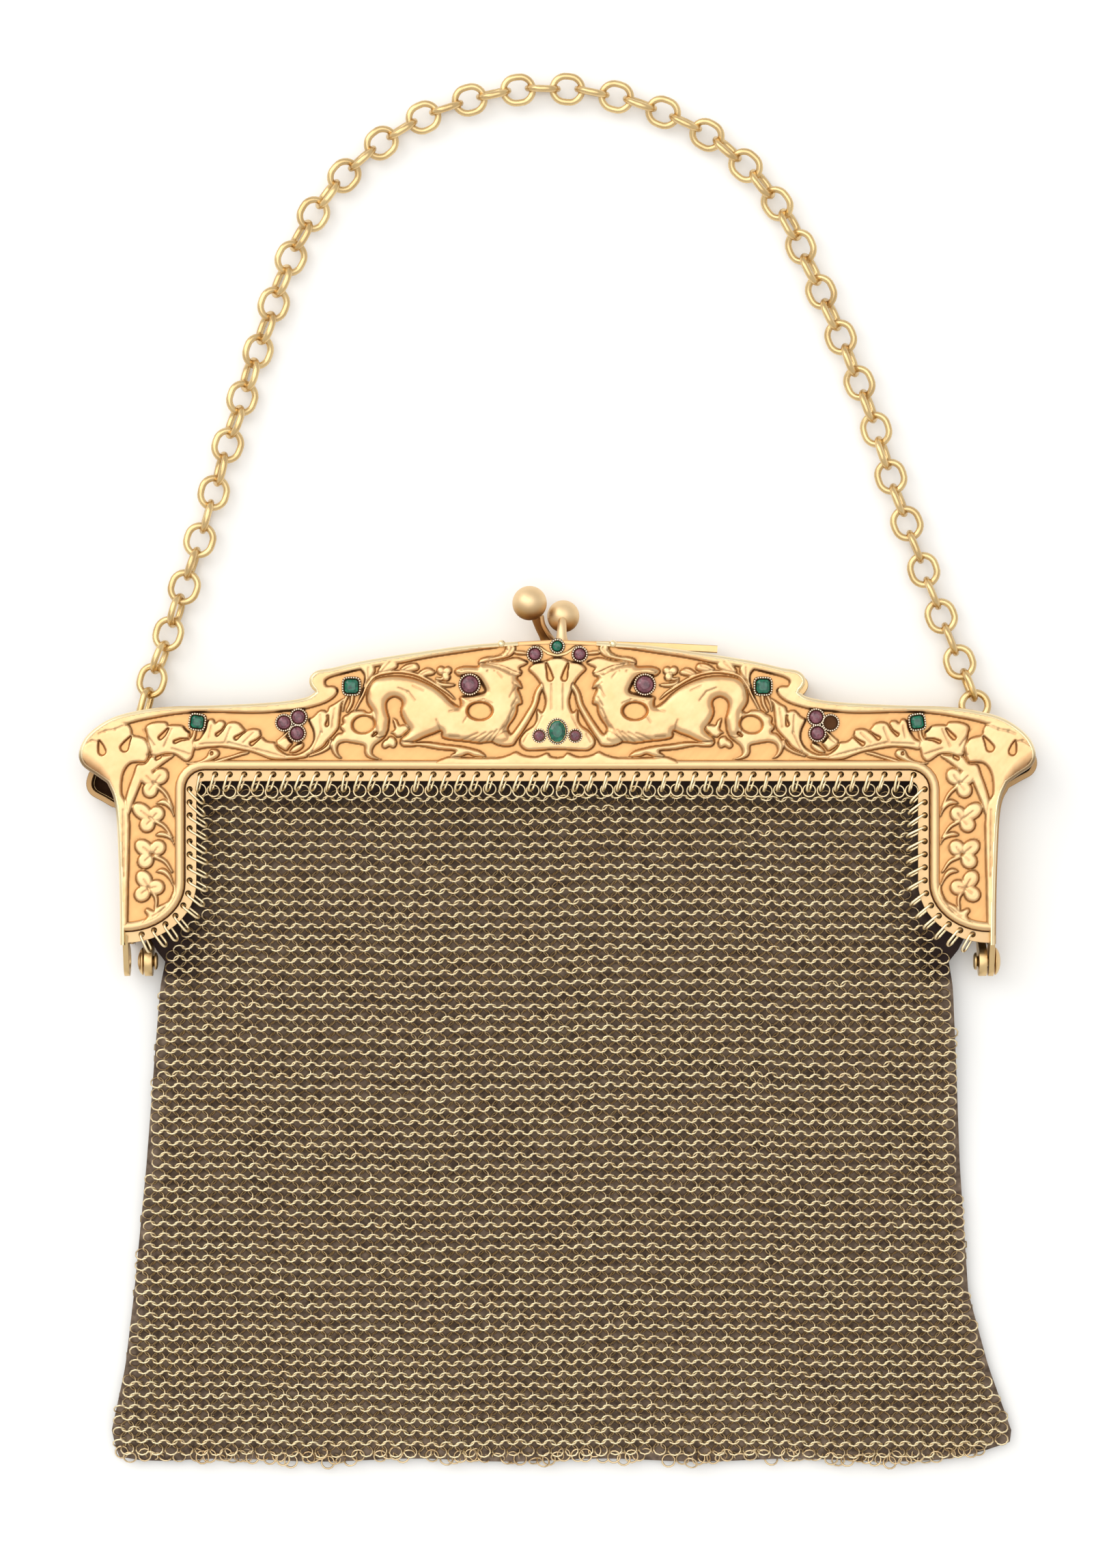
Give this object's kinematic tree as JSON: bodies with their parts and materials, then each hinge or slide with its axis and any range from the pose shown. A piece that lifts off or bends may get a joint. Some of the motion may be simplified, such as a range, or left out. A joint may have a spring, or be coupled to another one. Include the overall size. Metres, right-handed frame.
{
  "type": "mesh evening purse",
  "caption": "Ring-mesh evening purse lying flat, with a cast gem-set kiss-lock frame, an open bag of metal mesh and a link chain handle",
  "frame": {"origin": "on the flat back of the frame's rear half, under the middle of its top band", "axes": "+X to the right seen from the front, +Y from the bag's hem towards the chain, +Z out of the decorated front"},
  "size_m": [0.1507, 0.2198, 0.0103],
  "materials": {
    "frame_gold": "cast and polished, ground left matte",
    "chain_gold": "polished, darker in the recesses",
    "mesh_gold": "fine ring mesh, tarnished in its depth",
    "green_stone": "clear faceted green stone",
    "red_stone": "clear faceted red stone"
  },
  "bodies": {
    "root": {"front_frame": "frame_gold", "back_frame": "frame_gold", "hinge_pin_left": "frame_gold", "hinge_pin_right": "frame_gold", "clasp_ball_back": "frame_gold", "clasp_ball_front": "frame_gold", "mesh_bag": "mesh_gold", "chain": "chain_gold", "chain_bail_left": "chain_gold", "chain_bail_right": "chain_gold", "stone_berry_lower_left": "red_stone", "stone_berry_lower_right": "red_stone", "stone_berry_outer_left": "red_stone", "stone_berry_upper_left": "red_stone", "stone_berry_upper_right": "red_stone", "stone_centre_middle": "green_stone", "stone_crest_middle": "green_stone", "stone_flank_left": "red_stone", "stone_flank_right": "red_stone", "stone_mouth_left": "red_stone", "stone_mouth_right": "red_stone", "stone_shoulder_left": "green_stone", "stone_shoulder_right": "green_stone", "stone_sprig_left": "green_stone", "stone_sprig_right": "green_stone", "stone_upper_left": "red_stone", "stone_upper_right": "red_stone"}
  },
  "joints": []
}
